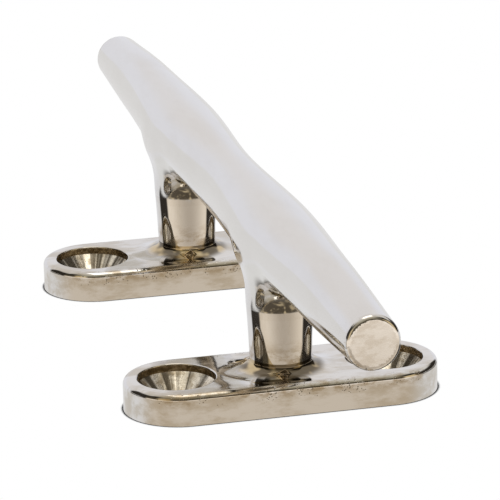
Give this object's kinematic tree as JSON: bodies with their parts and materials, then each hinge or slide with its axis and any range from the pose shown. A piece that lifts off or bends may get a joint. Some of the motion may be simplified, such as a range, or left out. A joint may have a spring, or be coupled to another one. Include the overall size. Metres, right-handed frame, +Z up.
{
  "type": "deck cleat",
  "caption": "Open-base mooring cleat in polished stainless steel: a tapered round horn on posts that stand on stadium-shaped feet with countersunk screw holes.",
  "frame": {"origin": "on the deck plane, midway between the two feet", "axes": "+X along the horn towards the front end, +Y across it, +Z up from the deck; the cleat is symmetric about X = 0 and Y = 0"},
  "size_m": [0.2032, 0.06, 0.0383],
  "materials": {
    "polished_stainless": "mirror polished marine stainless steel",
    "dressed_weld": "weld metal ground flush and polished"
  },
  "bodies": {
    "root": {"horn": "polished_stainless", "front_post": "polished_stainless", "rear_post": "polished_stainless", "front_foot": "polished_stainless", "rear_foot": "polished_stainless", "front_lower_weld": "dressed_weld", "front_upper_weld": "dressed_weld", "rear_lower_weld": "dressed_weld", "rear_upper_weld": "dressed_weld"}
  },
  "joints": []
}
